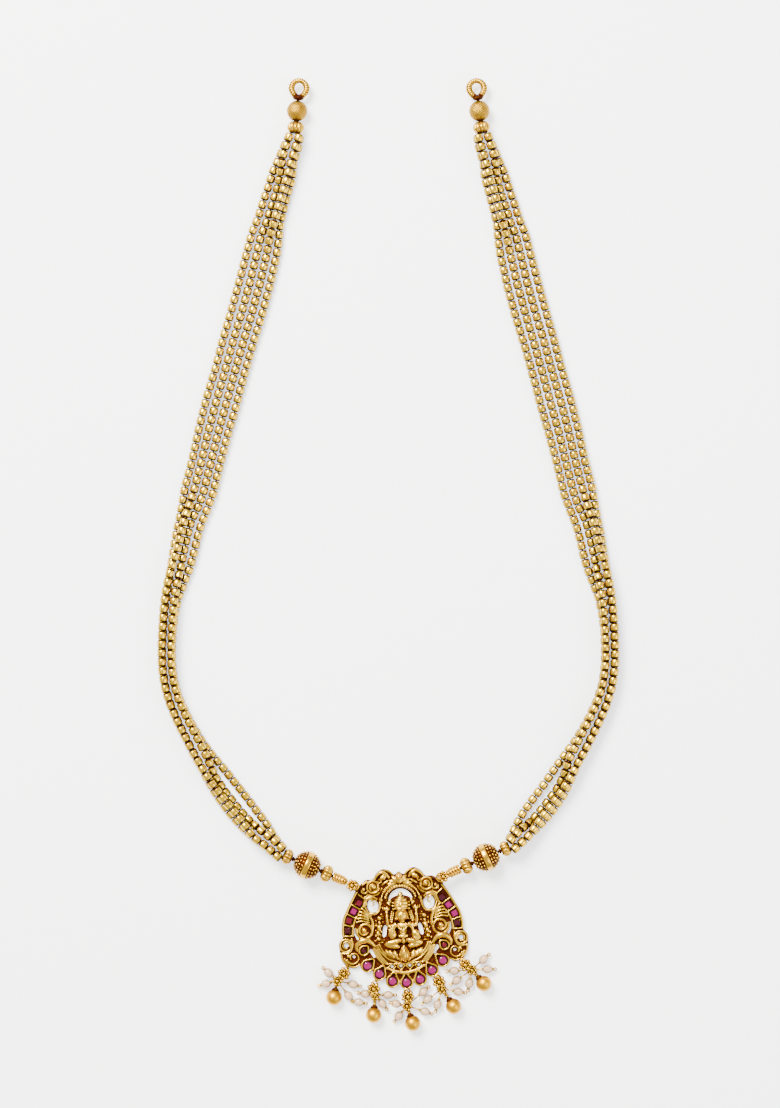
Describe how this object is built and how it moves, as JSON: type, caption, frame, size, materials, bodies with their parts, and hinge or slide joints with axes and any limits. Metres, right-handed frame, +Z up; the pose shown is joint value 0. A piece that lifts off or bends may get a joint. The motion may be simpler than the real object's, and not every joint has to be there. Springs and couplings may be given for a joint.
{
  "type": "temple jewellery necklace",
  "caption": "Gold temple necklace of twisted bead strands with a cast deity pendant, faceted red stones and ruffled pearl drops; it ties at the neck with a cord in its end rings.",
  "frame": {"origin": "middle of the necklace's outline on the surface that it lies on", "axes": "+Z up from that surface; +Y from the pendant towards the end rings; +X to the right as the picture shows it"},
  "size_m": [0.1522, 0.3144, 0.0095],
  "materials": {
    "gold_beads": "polished yellow gold with brown antique colour between the beads",
    "gold_stacks": "granulated and chased yellow gold with red-brown antique recesses",
    "gold_pendant": "cast and chased yellow gold, dark brown antique patina in the recesses",
    "gold_drops": "yellow gold wire and rosettes with antique recesses",
    "gold_drop_balls": "satin yellow gold",
    "thread": "twisted yellow silk thread",
    "ruby": "faceted pink-red stone",
    "pearl": "cream seed pearl"
  },
  "bodies": {
    "root": {"left_end_ring": "gold_stacks", "right_end_ring": "gold_stacks", "left_end_ball": "gold_stacks", "right_end_ball": "gold_stacks", "left_end_melon": "gold_stacks", "right_end_melon": "gold_stacks", "left_strand_a": "gold_beads", "left_strand_b": "gold_beads", "left_strand_c": "gold_beads", "left_strand_d": "gold_beads", "left_thread_d": "thread", "right_strand_a": "gold_beads", "right_strand_b": "gold_beads", "right_strand_c": "gold_beads", "right_strand_d": "gold_beads", "right_thread_d": "thread", "left_strand_melon": "gold_stacks", "right_strand_melon": "gold_stacks", "left_granule_ball": "gold_stacks", "right_granule_ball": "gold_stacks", "left_link_melon": "gold_stacks", "right_link_melon": "gold_stacks", "left_pendant_link": "gold_stacks", "right_pendant_link": "gold_stacks", "pendant_casting": "gold_pendant", "ruby_square_l1": "ruby", "ruby_square_l2": "ruby", "ruby_square_l3": "ruby", "ruby_square_l4": "ruby", "ruby_square_r1": "ruby", "ruby_square_r2": "ruby", "ruby_square_r3": "ruby", "ruby_square_r4": "ruby", "ruby_round_mid": "ruby", "ruby_round_l1": "ruby", "ruby_round_l2": "ruby", "ruby_round_l3": "ruby", "ruby_round_r1": "ruby", "ruby_round_r2": "ruby", "ruby_round_r3": "ruby", "ruby_small_l": "ruby", "ruby_small_r": "ruby", "drop1_metal": "gold_drops", "drop1_ball": "gold_drop_balls", "drop1_pearls": "pearl", "drop2_metal": "gold_drops", "drop2_ball": "gold_drop_balls", "drop2_pearls": "pearl", "drop3_metal": "gold_drops", "drop3_ball": "gold_drop_balls", "drop3_pearls": "pearl", "drop4_metal": "gold_drops", "drop4_ball": "gold_drop_balls", "drop4_pearls": "pearl", "drop5_metal": "gold_drops", "drop5_ball": "gold_drop_balls", "drop5_pearls": "pearl"}
  },
  "joints": []
}
